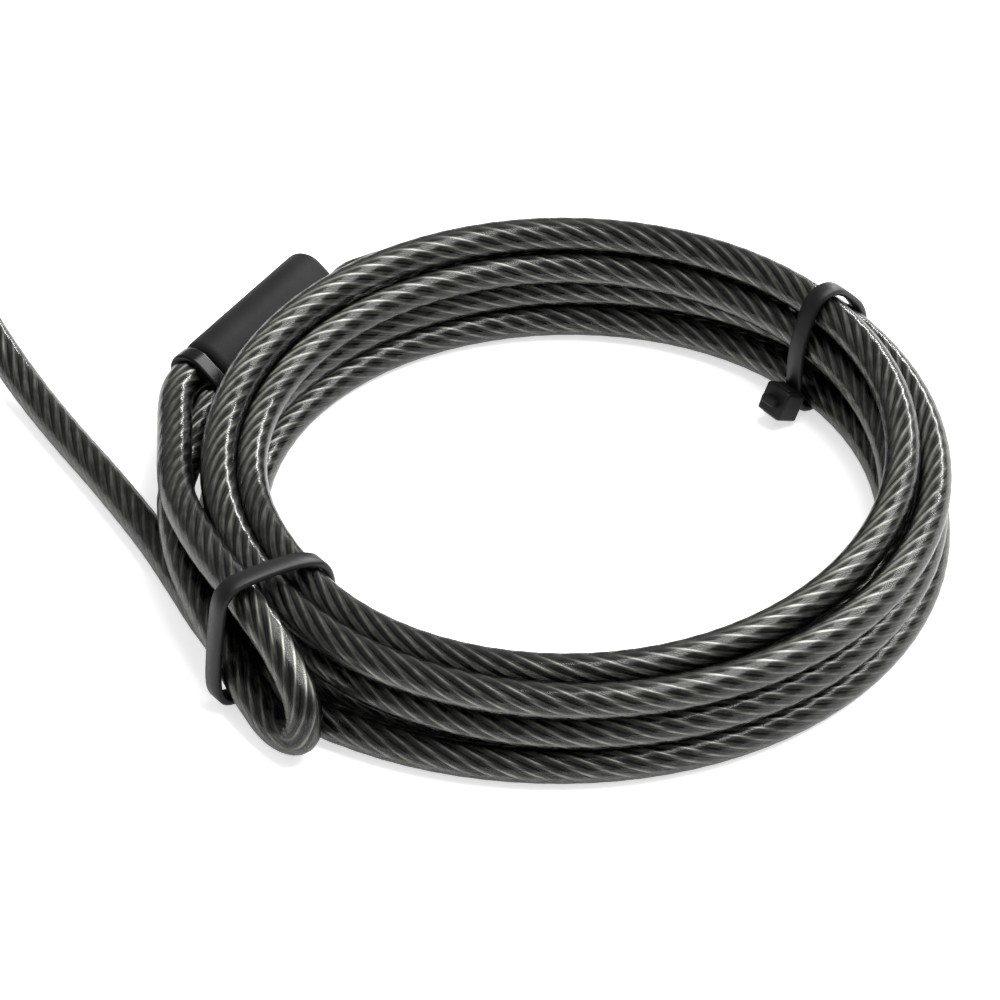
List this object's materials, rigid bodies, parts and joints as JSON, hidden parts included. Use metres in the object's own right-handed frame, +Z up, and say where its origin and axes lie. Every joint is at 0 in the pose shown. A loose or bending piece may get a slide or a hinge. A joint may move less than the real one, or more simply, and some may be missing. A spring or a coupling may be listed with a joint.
{
  "type": "laptop cable lock",
  "caption": "Combination lock head with turn knob, code dials and T-bar nose, on a jacketed steel cable coiled, tied and ending in a crimped loop.",
  "frame": {"origin": "centre of the lock head's footprint on the table that the lock lies on, cable and cable pieces left out", "axes": "+X along the barrel towards the T-bar nose, +Y away from the cable pivot, +Z up from the table"},
  "size_m": [0.1973, 0.1399, 0.02],
  "materials": {
    "black_zinc": "satin black coating on die-cast zinc",
    "nickel_plate": "bright nickel plate",
    "steel": "plain steel",
    "brass": "turned brass",
    "dial_plastic": "fine satin black with white digits",
    "black_rubber": "matt",
    "cable_jacket": "clear glossy jacket over grey steel rope",
    "sleeve_plastic": "matt charcoal black",
    "nylon": "semi-matt black moulded nylon"
  },
  "bodies": {
    "cable": {"cable_coil": "cable_jacket", "cable_tail": "cable_jacket", "end_loop": "cable_jacket", "loop_sleeve": "sleeve_plastic", "loop_collar": "nylon", "crimp_ferrule": "nickel_plate", "front_cable_tie": "nylon", "rear_cable_tie": "nylon", "cable_boot": "black_rubber", "cable_eye": "nickel_plate"},
    "collar": {"swivel_collar": "black_zinc", "pivot_pin": "steel"},
    "barrel": {"front_housing": "black_zinc", "nose_plate": "nickel_plate", "nose_pad": "black_rubber", "nose_screw_1": "steel", "nose_screw_2": "steel", "rear_cap": "black_zinc", "retaining_ring": "steel", "detent_spring": "steel", "fence_bar": "steel"},
    "dial_a": {"dial_1": "dial_plastic", "code_ring_1": "brass"},
    "dial_b": {"dial_2": "dial_plastic", "code_ring_2": "brass"},
    "dial_c": {"dial_3": "dial_plastic", "code_ring_3": "brass"},
    "dial_d": {"dial_4": "dial_plastic", "code_ring_4": "brass"},
    "spindle": {"lock_spindle": "nickel_plate", "turn_knob": "black_zinc", "knob_pin": "steel"}
  },
  "joints": [
    {"name": "cable_pivot", "type": "hinge", "parent": "cable", "child": "collar", "pos_m": [0.01615, -0.01, 0.01], "axis": [0, 0, 1], "range_deg": [-35, 110]},
    {"name": "barrel_swivel", "type": "hinge", "parent": "collar", "child": "barrel", "pos_m": [0.01615, 0.0035, 0.01], "axis": [1, 0, 0], "continuous": true},
    {"name": "dial_1_turn", "type": "hinge", "parent": "barrel", "child": "dial_a", "pos_m": [0.00635, 0.0035, 0.01], "axis": [1, 0, 0], "continuous": true},
    {"name": "dial_2_turn", "type": "hinge", "parent": "barrel", "child": "dial_b", "pos_m": [0.00075, 0.0035, 0.01], "axis": [1, 0, 0], "continuous": true},
    {"name": "dial_3_turn", "type": "hinge", "parent": "barrel", "child": "dial_c", "pos_m": [-0.00485, 0.0035, 0.01], "axis": [1, 0, 0], "continuous": true},
    {"name": "dial_4_turn", "type": "hinge", "parent": "barrel", "child": "dial_d", "pos_m": [-0.01045, 0.0035, 0.01], "axis": [1, 0, 0], "continuous": true},
    {"name": "knob_turn", "type": "hinge", "parent": "barrel", "child": "spindle", "pos_m": [-0.02285, 0.0035, 0.01], "axis": [1, 0, 0], "range_deg": [0, 90]}
  ]
}
